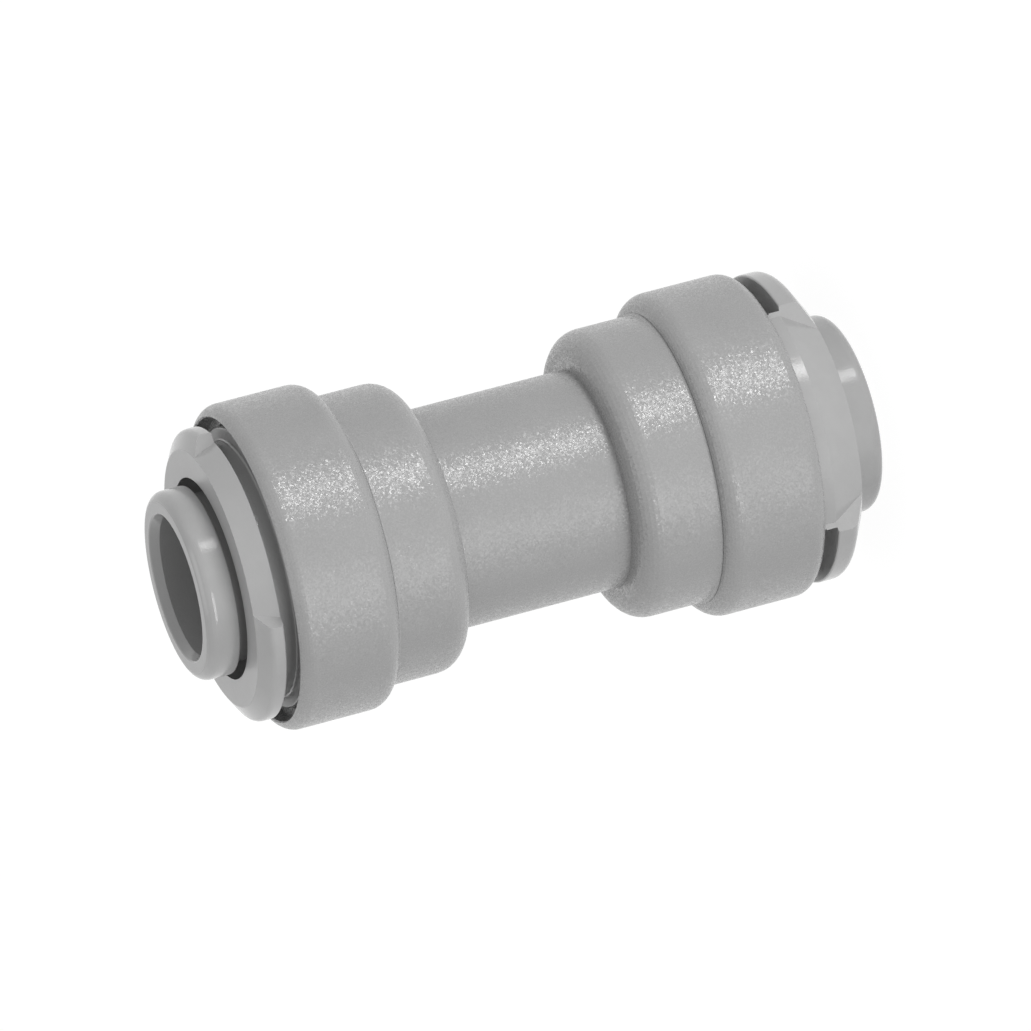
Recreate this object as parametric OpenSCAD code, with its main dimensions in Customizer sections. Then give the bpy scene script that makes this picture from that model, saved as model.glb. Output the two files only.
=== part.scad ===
// Push-in union: joins two plain tube ends in line, standing on its lower collet.
// +Z runs along the axis and z = 0 is the lower collet's face.

/* [Tube] */
// Outside diameter of the tube that pushes in
tube_d = 6.35; // [5.6:0.05:7.2]
// Play between the tube and its socket, on the radius
tube_gap = 0.075; // [0.05:0.005:0.15]
// Half the thickness of the wall that stops the tube
stop_half = 1; // [0.6:0.1:2]
// Width of that wall's ledge, which the tube's end meets
stop_ledge = 0.85; // [0.5:0.05:1.2]

/* [Body] */
// Length of the slim barrel between the two inner rings
barrel_len = 8.16; // [7.4:0.02:14]
// Wall of the barrel around the tube socket
barrel_wall = 1.88; // [1.4:0.02:2.4]
// Length of each inner ring
inner_ring_len = 3.78; // [3.2:0.02:5]
// How far the outer ring stands out from the inner ring
ring_step = 0.83; // [0.5:0.01:0.95]
// Length of each outer ring
outer_ring_len = 4.93; // [4.5:0.01:6]
// Wall of the outer ring at its open mouth
lip = 0.51; // [0.4:0.01:0.9]
// Rounding of the inner ring's shoulder
inner_ring_round = 1.17; // [0.6:0.01:1.3]
// Rounding of the outer ring's shoulder
outer_ring_round = 0.88; // [0.4:0.01:1.1]
// Rounding of the outer ring's mouth
mouth_round = 0.67; // [0.3:0.01:0.9]
// Widening of the mouth outside the retainer's seat
mouth_step = 0.49; // [0.3:0.01:0.6]
// Depth of that widening
mouth_depth = 0.8; // [0.5:0.05:1.2]
// Depth of the retainer's seat below the mouth
seat_depth = 3.9; // [3.4:0.05:4.3]

/* [Seal] */
// Thickness of the O-ring's cord
o_ring_cord = 1.9; // [1.5:0.05:2.2]
// How far the O-ring reaches into the tube's path
o_ring_squeeze = 0.15; // [0.05:0.01:0.18]
// Thickness of the spacer ring on the O-ring
spacer_t = 0.6; // [0.4:0.05:1]
// Play around a ring or skirt that sits in a bore
seat_gap = 0.03; // [0.02:0.005:0.05]

/* [Retainer] */
// Wall of the skirt that holds the spacer down
skirt_wall = 0.55; // [0.4:0.01:0.8]
// Length of that skirt
skirt_len = 1.4; // [1:0.05:1.8]
// Width of the shoulder between the skirt and the seat
shoulder_w = 1.07; // [0.8:0.01:1.4]
// Height of the snap bead around the retainer
bead_h = 0.18; // [0.1:0.01:0.25]
// Length of the snap bead
bead_len = 0.7; // [0.4:0.05:0.9]
// Depth of the undercut behind the rim, from the seat's radius
undercut = 0.67; // [0.4:0.01:0.8]
// How far the low parts of the rim lie below its raised parts
rim_step = 0.42; // [0.2:0.01:0.6]
// Angle of each low part of the rim, with its ramps
low_angle = 94; // [60:1:120]
// Angle between the nose's cone and the axis
nose_angle = 59; // [50:1:66]
// How far the nose's front edge lies outside the retainer's neck
nose_out = 0.1; // [0:0.01:0.3]
// Angle between the radius and the ramp at each end of a low part
ramp_angle = 30; // [10:5:50]
// Thickness of the collar that the collet's heads catch behind
collar_t = 0.9; // [0.6:0.05:1.1]

/* [Collet] */
// Wall of the collet's sleeve
sleeve_wall = 0.7; // [0.55:0.01:0.9]
// Play around the sleeve and behind the heads
slide_gap = 0.08; // [0.05:0.01:0.12]
// Play around the flange when it is pressed in
flange_gap = 0.3; // [0.2:0.01:0.4]
// Thickness of the flange
flange_t = 1.5; // [1.2:0.05:1.8]
// Rounding of the flange's front edge
flange_round = 0.5; // [0.3:0.02:0.6]
// Travel of the collet when it is pressed
travel = 1.6; // [1:0.05:1.8]
// Space left past the pressed collet
stop_gap = 0.15; // [0.1:0.01:0.25]
// How far the finger heads stand out from the sleeve
head_w = 0.65; // [0.45:0.01:0.8]
// Angle between the heads' cone and the axis
head_angle = 27; // [22:1:34]
// Width of the slots between the fingers
slot_w = 0.5; // [0.3:0.05:0.8]
// Length of the unslotted sleeve behind the flange
root_len = 1.3; // [1:0.05:1.6]
// Widening of the hole at the collet's face and at the tube socket
entry = 0.2; // [0.1:0.02:0.3]
// Depth of that widening at the collet's face
entry_len = 0.45; // [0.2:0.05:0.6]

/* [Teeth] */
// Thickness of the steel tooth
tooth_t = 0.25; // [0.2:0.01:0.35]
// Width of the steel tooth
tooth_w = 1.6; // [1.2:0.05:2]
// How deep the tooth bites past the tube's surface
tooth_bite = 0.12; // [0.05:0.01:0.15]
// Depth to which the tooth sits in its finger
tooth_seat = 0.85; // [0.6:0.05:0.95]
// Slope of the tooth towards the tube's end
tooth_slope = 25; // [15:1:35]
// Height of the tooth above the finger's tip
tooth_up = 0.6; // [0.5:0.05:0.9]

/* [Upper end] */
// Height of the collet's face above the body's middle
upper_face = 16.05; // [15.8:0.05:16.6]
// How far the flange stands out from the sleeve
upper_flange_w = 0.46; // [0.4:0.01:0.6]
// Rim's radius beyond the mouth's, less than nought inside it
upper_rim_out = -0.27; // [-0.4:0.01:-0.2]
// Space between the body's face and the rim
upper_rim_gap = 0.45; // [0.3:0.01:0.6]
// Width of the rim's outer face
upper_rim_w = 0.62; // [0.4:0.01:0.8]
// Turn of the retainer's pattern
upper_turn = 112; // [0:1:360]

/* [Lower end] */
// Height of the collet's face below the body's middle
lower_face = 16.8; // [16.5:0.05:17.3]
// How far the flange stands out from the sleeve
lower_flange_w = 0.7; // [0.6:0.01:0.8]
// Rim's radius beyond the mouth's, less than nought inside it
lower_rim_out = 0.18; // [0.1:0.01:0.3]
// Space between the body's face and the rim
lower_rim_gap = 0.6; // [0.5:0.01:0.9]
// Width of the rim's outer face
lower_rim_w = 0.91; // [0.6:0.01:1.1]
// Turn of the retainer's pattern
lower_turn = 89; // [0:1:360]

/* [Hidden] */
$fn = 96;

// Fingers of a collet, with one tooth each
fingers = 6;

// Radii, from the tube outwards
tube_r = tube_d / 2;
socket_r = tube_r + tube_gap;
flow_r = socket_r - stop_ledge;
barrel_r = socket_r + barrel_wall;
seal_r = tube_r - o_ring_squeeze + o_ring_cord / 2;
chamber_r = seal_r + o_ring_cord / 2 + seat_gap;
sleeve_r = socket_r + sleeve_wall;
throat_r = sleeve_r + slide_gap;
head_r = sleeve_r + head_w;
cam_r = max(head_r + flange_gap, chamber_r);
skirt_r = cam_r + skirt_wall;
retainer_r = skirt_r + shoulder_w;
neck_r = retainer_r - undercut;
nose_r = neck_r + nose_out;
seat_r = retainer_r + seat_gap;
mouth_r = seat_r + mouth_step;
outer_ring_r = mouth_r + lip;
inner_ring_r = outer_ring_r - ring_step;

// Heights above the body's middle
shoulder_z = barrel_len / 2;
step_z = shoulder_z + inner_ring_len;
face_z = step_z + outer_ring_len;
mouth_z = face_z - mouth_depth;
seat_z = face_z - seat_depth;
spacer_top_z = seat_z - skirt_len;
chamber_top_z = spacer_top_z - spacer_t;
chamber_z = chamber_top_z - o_ring_cord - seat_gap;
tip_z = spacer_top_z + travel + stop_gap;
neck_z = (mouth_z + face_z) / 2 - seat_gap;
bead_z = (seat_z + mouth_z) / 2 - bead_len;

// Small chamfers and fillets
edge = 0.1;
inside = 0.15;
overcut = 1;

soft_grey = "#a9a9a9";
steel = "#c8ccd0";
seal_black = "#1c1c1c";

function flat(p) = [p[0], p[1]];
function unit(v) = v / norm(v);

// Points of the round that replaces corner b between a and c
function round_corner(a, b, c, r, steps = 8) =
    let (u = unit(a - b), w = unit(c - b))
    let (half = acos(u * w) / 2)
    let (m = b + unit(u + w) * r / sin(half))
    let (first = b + u * r / tan(half) - m, last = b + w * r / tan(half) - m)
    let (from = atan2(first[1], first[0]))
    let (turn = (atan2(last[1], last[0]) - from + 540) % 360 - 180)
    [for (i = [0:steps]) m + r * [cos(from + turn * i / steps), sin(from + turn * i / steps)]];

// Outline of [radius, height, rounding] corners with the roundings put in
function outline(p) =
    let (n = len(p))
    [for (i = [0:n - 1])
        each p[i][2] > 0
            ? round_corner(flat(p[(i + n - 1) % n]), flat(p[i]), flat(p[(i + 1) % n]), p[i][2])
            : [flat(p[i])]];

module turned(p) {
    rotate_extrude() polygon(outline(p));
}

// Places an end's pieces, drawn upwards from the body's middle
module upper_end() {
    translate([0, 0, lower_face]) children();
}

module lower_end() {
    translate([0, 0, lower_face]) rotate([180, 0, 0]) children();
}

// Body: one moulding, two stepped rings on each side of a barrel
module body_outside() {
    half = [
        [barrel_r, shoulder_z, 0],
        [inner_ring_r, shoulder_z, inner_ring_round],
        [inner_ring_r, step_z, edge],
        [outer_ring_r, step_z, outer_ring_round],
        [outer_ring_r, face_z, mouth_round],
        [0, face_z, 0]];
    other = [for (i = [len(half) - 1:-1:0]) [half[i][0], -half[i][1], half[i][2]]];
    turned(concat(half, other));
}

module body_socket() {
    turned([
        [0, stop_half, 0],
        [socket_r, stop_half, 0],
        [socket_r, chamber_z - entry, 0],
        [socket_r + entry, chamber_z, 0],
        [chamber_r, chamber_z, 0],
        [chamber_r, chamber_top_z, 0],
        [skirt_r + seat_gap, chamber_top_z, 0],
        [skirt_r + seat_gap, seat_z, 0],
        [seat_r, seat_z, 0],
        [seat_r, bead_z - seat_gap, 0],
        [seat_r + bead_h, bead_z + bead_h - seat_gap, 0],
        [seat_r + bead_h, bead_z + bead_len + seat_gap, 0],
        [seat_r, bead_z + bead_len + seat_gap, 0],
        [seat_r, mouth_z, edge],
        [mouth_r, mouth_z, 0],
        [mouth_r, face_z - edge, 0],
        [mouth_r + edge, face_z, 0],
        [mouth_r + edge, face_z + overcut, 0],
        [0, face_z + overcut, 0]]);
}

module body() {
    color(soft_grey)
    translate([0, 0, lower_face])
    difference() {
        body_outside();
        body_socket();
        mirror([0, 0, 1]) body_socket();
        cylinder(h = 2 * stop_half + 2 * overcut, r = flow_r, center = true);
    }
}

// O-ring that seals on the tube
module o_ring() {
    color(seal_black)
    translate([0, 0, chamber_z + o_ring_cord / 2])
    rotate_extrude() translate([seal_r, 0]) circle(r = o_ring_cord / 2);
}

// Flat ring between the O-ring and the retainer's skirt
module spacer() {
    color(soft_grey)
    turned([
        [socket_r, chamber_top_z, edge],
        [skirt_r, chamber_top_z, 0],
        [skirt_r, spacer_top_z, 0],
        [socket_r, spacer_top_z, edge]]);
}

// Height of the flange's back face for a collet whose face is at this height
function flange_z(face) = face - flange_t;

function polar(r, angle) = r * [cos(angle), sin(angle)];

// What a low part of the rim loses: its outer face and the cone's foot, with a flat ramp at each end
module low_cut(rim_r, rim_z, nose_z) {
    low_r = rim_r - rim_step;
    top = polar(rim_r, low_angle / 2);
    foot = top - polar(rim_r / 2, low_angle / 2 + ramp_angle);
    past = top + polar(overcut, low_angle / 2 + ramp_angle);
    far = rim_r + overcut;
    slope = (low_r - nose_r) / (nose_z - rim_z);
    difference() {
        translate([0, 0, face_z - edge])
        linear_extrude(height = nose_z - face_z + overcut)
        polygon([foot, past, [far, past[1]], [far, -past[1]], [past[0], -past[1]], [foot[0], -foot[1]]]);
        turned([
            [0, -overcut, 0],
            [low_r, -overcut, 0],
            [low_r, rim_z, edge],
            [nose_r - 2 * overcut * slope, nose_z + 2 * overcut, 0],
            [0, nose_z + 2 * overcut, 0]]);
    }
}

module retainer(face, flange_w, rim_out, rim_gap, rim_w, turn) {
    rim_r = mouth_r + rim_out;
    rim_z = face_z + rim_gap;
    crease_z = rim_z + rim_w;
    nose_z = crease_z + (rim_r - nose_r) / tan(nose_angle);
    recess_r = sleeve_r + flange_w + flange_gap;
    floor_z = flange_z(face) - travel - stop_gap;
    catch_z = floor_z - collar_t;
    cam_z = catch_z - (cam_r - throat_r) / tan(head_angle);
    web_angle = low_angle - 2 * atan(rim_step / 2 * tan(ramp_angle) / rim_r);
    web_foot_r = mouth_r - slide_gap;
    color(soft_grey)
    rotate([0, 0, turn])
    difference() {
        union() {
            difference() {
                union() {
                    turned([
                        [0, rim_z, 0],
                        [rim_r, rim_z, edge],
                        [rim_r, crease_z, rim_w / 2],
                        [nose_r, nose_z, inside],
                        [0, nose_z, 0]]);
                    // Web that closes the undercut behind one low part, up to half its ramps
                    rotate([0, 0, -web_angle / 2])
                    rotate_extrude(angle = web_angle)
                    polygon([
                        [neck_r - inside, mouth_z + seat_gap],
                        [web_foot_r, mouth_z + seat_gap],
                        [web_foot_r, face_z + slide_gap],
                        [rim_r - edge / 2, face_z + slide_gap],
                        [rim_r - edge / 2, rim_z + inside],
                        [neck_r - inside, rim_z + inside]]);
                }
                for (side = [0, 180]) rotate([0, 0, side]) low_cut(rim_r, rim_z, nose_z);
            }
            turned([
                [0, spacer_top_z, 0],
                [skirt_r, spacer_top_z, 0],
                [skirt_r, seat_z, 0],
                [retainer_r, seat_z, edge],
                [retainer_r, bead_z, 0],
                [retainer_r + bead_h, bead_z + bead_h, 0],
                [retainer_r + bead_h, bead_z + bead_len, 0],
                [retainer_r, bead_z + bead_len, 0],
                [retainer_r, neck_z, edge],
                [neck_r, neck_z, inside],
                [neck_r, rim_z, 0],
                [0, rim_z, 0]]);
        }
        turned([
            [0, spacer_top_z - overcut, 0],
            [cam_r, spacer_top_z - overcut, 0],
            [cam_r, cam_z, 0],
            [throat_r, catch_z, 0],
            [throat_r, floor_z, 0],
            [recess_r, floor_z, inside],
            [recess_r, face, 0],
            [0, face, 0]]);
    }
}

// Steel tooth of one finger, bevelled to an edge at the tube
module tooth_blade(turn) {
    bite = tube_r - tooth_bite;
    reach = socket_r + tooth_seat - bite;
    rotate([0, 0, turn])
    translate([bite, 0, tip_z + tooth_up])
    rotate([90, -tooth_slope, 0])
    linear_extrude(height = tooth_w, center = true)
    polygon([[0, 0], [reach, 0], [reach, tooth_t], [tooth_t, tooth_t]]);
}

module tooth(number) {
    color(steel) tooth_blade(finger_turn(number));
}

function finger_turn(number) = (number - 0.5) * 360 / fingers;

// Collet: flange, sleeve and sprung fingers whose heads catch in the retainer
module collet(face, flange_w) {
    back_z = flange_z(face);
    catch_z = back_z - travel - stop_gap - collar_t - slide_gap;
    head_z = catch_z - head_w / tan(head_angle);
    slot_top = back_z - root_len;
    color(soft_grey)
    difference() {
        turned([
            [socket_r, tip_z, 0],
            [head_r - head_w / 2, tip_z, 0],
            [head_r, tip_z + head_w, edge],
            [head_r, head_z, edge],
            [sleeve_r, catch_z, 0],
            [sleeve_r, back_z, 0],
            [sleeve_r + flange_w, back_z, edge],
            [sleeve_r + flange_w, face, flange_round],
            [socket_r + entry, face, edge],
            [socket_r, face - entry_len, edge]]);
        for (i = [1:fingers]) {
            rotate([0, 0, i * 360 / fingers])
            translate([0, -slot_w / 2, tip_z - overcut])
            cube([head_r + overcut, slot_w, slot_top - tip_z + overcut]);
            tooth_blade(finger_turn(i));
        }
    }
}

module upper_retainer() {
    upper_end() retainer(upper_face, upper_flange_w, upper_rim_out, upper_rim_gap, upper_rim_w, upper_turn);
}

module lower_retainer() {
    lower_end() retainer(lower_face, lower_flange_w, lower_rim_out, lower_rim_gap, lower_rim_w, lower_turn);
}

body();
upper_retainer();
upper_end() collet(upper_face, upper_flange_w);  // upper_collet
upper_end() o_ring();  // upper_o_ring
upper_end() spacer();  // upper_spacer
upper_end() tooth(1);  // upper_tooth_1
upper_end() tooth(2);  // upper_tooth_2
upper_end() tooth(3);  // upper_tooth_3
upper_end() tooth(4);  // upper_tooth_4
upper_end() tooth(5);  // upper_tooth_5
upper_end() tooth(6);  // upper_tooth_6
lower_retainer();
lower_end() collet(lower_face, lower_flange_w);  // lower_collet
lower_end() o_ring();  // lower_o_ring
lower_end() spacer();  // lower_spacer
lower_end() tooth(1);  // lower_tooth_1
lower_end() tooth(2);  // lower_tooth_2
lower_end() tooth(3);  // lower_tooth_3
lower_end() tooth(4);  // lower_tooth_4
lower_end() tooth(5);  // lower_tooth_5
lower_end() tooth(6);  // lower_tooth_6
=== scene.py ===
# Finishes, lamps, board and camera for the push-in union.
import math

import bpy
from mathutils import Matrix, Vector


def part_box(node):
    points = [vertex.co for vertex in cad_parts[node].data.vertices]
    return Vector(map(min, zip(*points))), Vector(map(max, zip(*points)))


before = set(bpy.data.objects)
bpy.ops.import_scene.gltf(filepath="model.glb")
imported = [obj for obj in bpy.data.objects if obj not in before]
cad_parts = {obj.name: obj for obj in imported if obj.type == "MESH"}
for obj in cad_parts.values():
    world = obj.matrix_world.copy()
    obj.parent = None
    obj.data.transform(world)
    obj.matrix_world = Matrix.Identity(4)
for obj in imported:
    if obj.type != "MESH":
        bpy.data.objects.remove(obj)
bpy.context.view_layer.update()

mm = 0.001
low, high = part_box("body")
middle = (Vector(low) + Vector(high)) / 2  # on the axis, halfway along the barrel
print("frame read:", len(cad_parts), "nodes")


# sRGB hex to the linear colour that the shaders want
def hexColour(code):
    channels = [int(code[at:at + 2], 16) / 255 for at in (0, 2, 4)]
    return [c / 12.92 if c <= 0.04045 else ((c + 0.055) / 1.055) ** 2.4 for c in channels] + [1]


# A setting goes to the socket of that name or number, or else to the node itself
def addNode(tree, kind, settings=None, links=None):
    node = tree.nodes.new(kind)
    for name, value in (settings or {}).items():
        if isinstance(name, int) or name in node.inputs:
            node.inputs[name].default_value = value
        else:
            setattr(node, name, value)
    for name, source in (links or {}).items():
        tree.links.new(source, node.inputs[name])
    return node


def newMaterial(name):
    material = bpy.data.materials.new(name)
    material.use_nodes = True
    material.node_tree.nodes.clear()
    return material, material.node_tree


# Object coordinates in millimetres, so a noise of scale 1 / size has features of that size
def millimetres(tree):
    place = addNode(tree, "ShaderNodeTexCoord")
    return addNode(tree, "ShaderNodeVectorMath", {"operation": "SCALE", "Scale": 1 / mm},
                   {0: place.outputs["Object"]}).outputs[0]


# The material's colour, which clouds over to its second one; a Mix has its two colours at 6 and 7
def cloudyColour(tree, at, v):
    patches = addNode(tree, "ShaderNodeTexNoise", {"Scale": 1 / v["patch"], "Detail": v["patchDetail"]},
                      {"Vector": at})
    return addNode(tree, "ShaderNodeMix",
                   {"data_type": "RGBA", 6: hexColour(v["colour"]), 7: hexColour(v["paler"])},
                   {0: patches.outputs[0]}).outputs[2]


# Acetal moulded in a spark-eroded tool: even grey, whose low round pebbles break a glint into sparks
sparkErodedAcetal = {
    "colour": "9e9e9e",
    "paler": "a5a5a5",
    "patch": 1.8,  # mm, soft cloudiness of the resin
    "patchDetail": 3,
    "pebble": 0.075,  # mm, about one and a half times the real pebble, which would be finer than a pixel
    "pebbleDepth": 0.0015,  # mm, for a whole pebble's width; a pebble rises about a quarter of it
    "tilt": 0.24,  # range of the pebbles' lean to any side, so that only some of them spark
    "sheen": (0.1, 0.42),  # roughness from the shiniest pebbles to the dullest
    "specular": 0.55,
    "ior": 1.48,
}


def makeSparkErodedAcetal(v):
    material, tree = newMaterial("sparkErodedAcetal")
    at = millimetres(tree)
    pebbles = addNode(tree, "ShaderNodeTexVoronoi", {"Scale": 1 / v["pebble"]}, {"Vector": at})
    # Distance squared, which the bump turns over, makes each pebble a low dome
    dip = addNode(tree, "ShaderNodeMath", {"operation": "POWER", 1: 2}, {0: pebbles.outputs["Distance"]})
    # Its random colour, moved to lie round zero, leans it to one side
    side = addNode(tree, "ShaderNodeVectorMath", {"operation": "SUBTRACT", 1: (0.5, 0.5, 0.5)},
                   {0: pebbles.outputs["Color"]})
    upright = addNode(tree, "ShaderNodeNewGeometry")
    leaning = addNode(tree, "ShaderNodeVectorMath", {"operation": "MULTIPLY_ADD", 1: (v["tilt"],) * 3},
                      {0: side.outputs[0], 2: upright.outputs["Normal"]})
    way = addNode(tree, "ShaderNodeVectorMath", {"operation": "NORMALIZE"}, {0: leaning.outputs[0]})
    bump = addNode(tree, "ShaderNodeBump", {"Strength": 1, "Distance": v["pebbleDepth"] * mm, "invert": True},
                   {"Height": dip.outputs[0], "Normal": way.outputs[0]})
    chance = addNode(tree, "ShaderNodeTexWhiteNoise", {}, {"Vector": pebbles.outputs["Position"]})
    sheen = addNode(tree, "ShaderNodeMapRange", {"To Min": v["sheen"][0], "To Max": v["sheen"][1]},
                    {"Value": chance.outputs["Value"]})
    shader = addNode(tree, "ShaderNodeBsdfPrincipled", {"IOR": v["ior"], "Specular IOR Level": v["specular"]},
                     {"Base Color": cloudyColour(tree, at, v), "Roughness": sheen.outputs[0],
                      "Normal": bump.outputs[0]})
    addNode(tree, "ShaderNodeOutputMaterial", {}, {"Surface": shader.outputs[0]})
    return material


# Acetal moulded in a polished tool: semi-gloss sides, whose tight glints the long flow waves bend a
# little, and ends a bit duller
retainerAcetal = {
    "colour": "a7a7a7",
    "paler": "afafaf",
    "patch": 0.9,  # mm
    "patchDetail": 4,
    "wave": 1.3,  # mm
    "waveDepth": 0.006,  # mm
    "grit": 0.1,  # mm, twice the polishing marks, so that they show
    "gritDepth": 0.006,  # mm
    "sheen": (0.13, 0.3),  # roughness of the polished sides and of the flat ends
    "endOn": (0.9, 0.97),  # cosine to the axis, from which a face starts to be an end and is wholly one
    "specular": 0.75,
    "ior": 1.48,
}

colletAcetal = dict(retainerAcetal, colour="a5a5a5", paler="acacac", wave=0.9, sheen=(0.11, 0.3))


def makePolishedAcetal(name, v):
    material, tree = newMaterial(name)
    at = millimetres(tree)
    place = addNode(tree, "ShaderNodeTexCoord")
    facing = addNode(tree, "ShaderNodeSeparateXYZ", {}, {"Vector": place.outputs["Normal"]})
    along = addNode(tree, "ShaderNodeMath", {"operation": "ABSOLUTE"}, {0: facing.outputs["Z"]})
    sheen = addNode(tree, "ShaderNodeMapRange",
                    {"From Min": v["endOn"][0], "From Max": v["endOn"][1],
                     "To Min": v["sheen"][0], "To Max": v["sheen"][1]},
                    {"Value": along.outputs[0]})
    wave = addNode(tree, "ShaderNodeTexNoise", {"Scale": 1 / v["wave"], "Detail": 1}, {"Vector": at})
    waves = addNode(tree, "ShaderNodeBump", {"Strength": 1, "Distance": v["waveDepth"] * mm},
                    {"Height": wave.outputs[0]})
    grit = addNode(tree, "ShaderNodeTexNoise", {"Scale": 1 / v["grit"], "Detail": 1}, {"Vector": at})
    marks = addNode(tree, "ShaderNodeBump", {"Strength": 1, "Distance": v["gritDepth"] * mm},
                    {"Height": grit.outputs[0], "Normal": waves.outputs[0]})
    shader = addNode(tree, "ShaderNodeBsdfPrincipled", {"IOR": v["ior"], "Specular IOR Level": v["specular"]},
                     {"Base Color": cloudyColour(tree, at, v), "Roughness": sheen.outputs[0],
                      "Normal": marks.outputs[0]})
    addNode(tree, "ShaderNodeOutputMaterial", {}, {"Surface": shader.outputs[0]})
    return material


# Moulded EPDM rubber: near black and satin, with a faint paler bloom on it
mouldedRubber = {
    "colour": "191919",
    "paler": "262626",
    "patch": 0.6,  # mm
    "patchDetail": 3,
    "skin": 0.08,  # mm
    "skinDepth": 0.003,  # mm
    "roughness": 0.5,
    "ior": 1.52,
}


def makeMouldedRubber(v):
    material, tree = newMaterial("mouldedRubber")
    at = millimetres(tree)
    skin = addNode(tree, "ShaderNodeTexNoise", {"Scale": 1 / v["skin"], "Detail": 2}, {"Vector": at})
    bump = addNode(tree, "ShaderNodeBump", {"Strength": 1, "Distance": v["skinDepth"] * mm},
                   {"Height": skin.outputs[0]})
    shader = addNode(tree, "ShaderNodeBsdfPrincipled", {"Roughness": v["roughness"], "IOR": v["ior"]},
                     {"Base Color": cloudyColour(tree, at, v), "Normal": bump.outputs[0]})
    addNode(tree, "ShaderNodeOutputMaterial", {}, {"Surface": shader.outputs[0]})
    return material


# Cold-rolled stainless strip: bright, drawn out into fine lines along the strip
rolledSteel = {
    "colour": "c9cbcc",
    "line": 0.03,  # mm between rolling lines
    "stretch": 12,  # a line is this many times longer than wide
    "lineDepth": 0.001,  # mm
    "sheen": (0.22, 0.38),  # roughness, which changes from line to line
}


def makeRolledSteel(v):
    material, tree = newMaterial("rolledSteel")
    drawnOut = addNode(tree, "ShaderNodeMapping", {"Scale": (1, 1, 1 / v["stretch"])},
                       {"Vector": millimetres(tree)})
    lines = addNode(tree, "ShaderNodeTexNoise", {"Scale": 1 / v["line"], "Detail": 2},
                    {"Vector": drawnOut.outputs[0]})
    sheen = addNode(tree, "ShaderNodeMapRange", {"To Min": v["sheen"][0], "To Max": v["sheen"][1]},
                    {"Value": lines.outputs[0]})
    bump = addNode(tree, "ShaderNodeBump", {"Strength": 1, "Distance": v["lineDepth"] * mm},
                   {"Height": lines.outputs[0]})
    shader = addNode(tree, "ShaderNodeBsdfPrincipled", {"Base Color": hexColour(v["colour"]), "Metallic": 1},
                     {"Roughness": sheen.outputs[0], "Normal": bump.outputs[0]})
    addNode(tree, "ShaderNodeOutputMaterial", {}, {"Surface": shader.outputs[0]})
    return material


retainerFinish = makePolishedAcetal("retainerAcetal", retainerAcetal)
finishes = {
    "body": makeSparkErodedAcetal(sparkErodedAcetal),
    "retainer": retainerFinish,
    "spacer": retainerFinish,
    "collet": makePolishedAcetal("colletAcetal", colletAcetal),
    "ring": makeMouldedRubber(mouldedRubber),
    "tooth": makeRolledSteel(rolledSteel),
}

# A node's name says what it is: upper_collet, lower_tooth_3 and so on
for name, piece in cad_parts.items():
    kind = next(word for word in finishes if word in name)
    piece.data.materials.clear()
    piece.data.materials.append(finishes[kind])
print("finishes given to", len(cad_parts), "pieces")

camera = {
    "lean": 14.777,  # degrees, the axis against the picture's width
    "turn": 73.88,  # degrees from the axis to the way back to the camera
    "away": 522 * mm,
    "width": 46.91 * mm,  # what the picture's width spans at the union
    "right": 0.436 * mm,  # where the picture's centre lies, seen from the body's middle
    "up": -0.67 * mm,
    "near": 50 * mm,  # nothing nearer than this or farther than the next is drawn
    "far": 20,  # metres
}


# The union lies across the picture, and its upper end points left and down by the lean
def placeCamera(v):
    lean, turn = math.radians(v["lean"]), math.radians(v["turn"])
    back = Vector((0, -math.sin(turn), math.cos(turn)))
    up = Vector((math.cos(lean), -math.sin(lean) * math.cos(turn), -math.sin(lean) * math.sin(turn)))
    right = up.cross(back)
    lens = bpy.data.cameras.new("camera")
    lens.lens = lens.sensor_width * v["away"] / v["width"]
    lens.clip_start, lens.clip_end = v["near"], v["far"]
    holder = bpy.data.objects.new("camera", lens)
    bpy.context.scene.collection.objects.link(holder)
    seat = middle + right * v["right"] + up * v["up"] + back * v["away"]
    holder.matrix_world = Matrix.Translation(seat) @ Matrix((right, up, back)).transposed().to_4x4()
    bpy.context.scene.camera = holder


placeCamera(camera)
print("camera placed")

# The photograph is turned on its side, so its lamps stand low here, and light up through the board.
# Azimuth and elevation are seen from the body's middle, in degrees; light is what falls on the union.
lamps = {
    "sparkLamp": {
        "azimuth": 310, "elevation": -17.5, "away": 260 * mm, "wide": 38 * mm, "tall": 95 * mm, "light": 1.3,
    },
    "softBox": {
        "azimuth": 236, "elevation": -8, "away": 300 * mm, "wide": 190 * mm, "tall": 190 * mm, "light": 1.26,
    },
    "endLamp": {
        "azimuth": 90, "elevation": 85, "away": 300 * mm, "wide": 220 * mm, "tall": 220 * mm, "light": 0.47,
    },
}


def placeLamp(name, v):
    azimuth, elevation = math.radians(v["azimuth"]), math.radians(v["elevation"])
    way = Vector((math.cos(azimuth) * math.cos(elevation), math.sin(azimuth) * math.cos(elevation),
                  math.sin(elevation)))
    lamp = bpy.data.lights.new(name, "AREA")
    lamp.shape = "ELLIPSE"
    lamp.size, lamp.size_y = v["wide"], v["tall"]
    lamp.energy = v["light"] * math.pi * v["away"] ** 2
    holder = bpy.data.objects.new(name, lamp)
    holder.location = middle + way * v["away"]
    holder.rotation_mode = "QUATERNION"
    holder.rotation_quaternion = way.to_track_quat("Z", "Y")
    holder.visible_camera = False
    bpy.context.scene.collection.objects.link(holder)


for name, values in lamps.items():
    placeLamp(name, values)
print("lamps placed")

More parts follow.
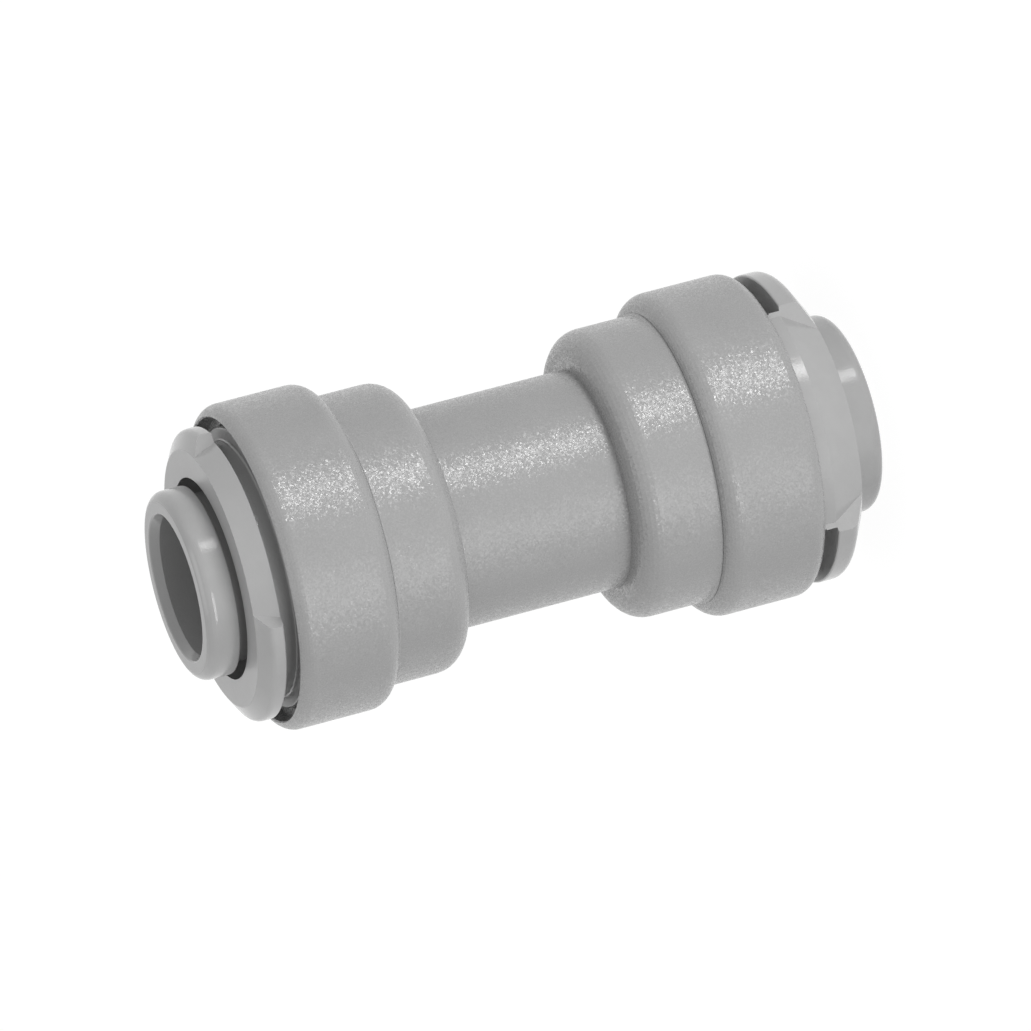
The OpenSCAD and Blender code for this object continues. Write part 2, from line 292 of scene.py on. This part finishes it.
studio = {
    "ambient": 0.45,  # of the white room, as it lights the union
    "board": "e6e6e6",
    "boardSize": 6,  # metres
    "under": 0.02 * mm,  # board below the lowest face
    "white": 1.12,  # what camera, gloss and glass rays see of the board's own white
    "share": 0.85,  # how much of that white they see, the rest keeps the shadow
}


# 1 for the rays that should see a white background, 0 for those that carry light to the union
def seesWhite(tree):
    path = addNode(tree, "ShaderNodeLightPath")
    white = path.outputs["Is Camera Ray"]
    for ray in ("Is Glossy Ray", "Is Transmission Ray"):
        larger = addNode(tree, "ShaderNodeMath", {"operation": "MAXIMUM"}, {0: white, 1: path.outputs[ray]})
        white = larger.outputs[0]
    return white


def makeRoom(v):
    room = bpy.data.worlds.new("room")
    bpy.context.scene.world = room
    room.use_nodes = True
    tree = room.node_tree
    tree.nodes.clear()
    strength = addNode(tree, "ShaderNodeMapRange", {"To Min": v["ambient"], "To Max": 1},
                       {"Value": seesWhite(tree)})
    walls = addNode(tree, "ShaderNodeBackground", {"Color": hexColour("ffffff")},
                    {"Strength": strength.outputs[0]})
    addNode(tree, "ShaderNodeOutputWorld", {}, {"Surface": walls.outputs[0]})


# Painted board: matt and plain, it only catches the shadow
def makeBoard(v):
    bpy.ops.mesh.primitive_plane_add(size=v["boardSize"], location=(0, 0, -v["under"]))
    board = bpy.context.object
    board.name = "board"
    board.visible_shadow = False
    material, tree = newMaterial("paintedBoard")
    share = addNode(tree, "ShaderNodeMath", {"operation": "MULTIPLY", 1: v["share"]}, {0: seesWhite(tree)})
    paint = addNode(tree, "ShaderNodeBsdfDiffuse", {"Color": hexColour(v["board"])})
    glow = addNode(tree, "ShaderNodeEmission", {"Color": hexColour("ffffff"), "Strength": v["white"]})
    both = addNode(tree, "ShaderNodeMixShader", {},
                   {0: share.outputs[0], 1: paint.outputs[0], 2: glow.outputs[0]})
    addNode(tree, "ShaderNodeOutputMaterial", {}, {"Surface": both.outputs[0]})
    board.data.materials.append(material)


makeRoom(studio)
makeBoard(studio)
bpy.context.scene.view_settings.view_transform = "Standard"
print("room and board made")
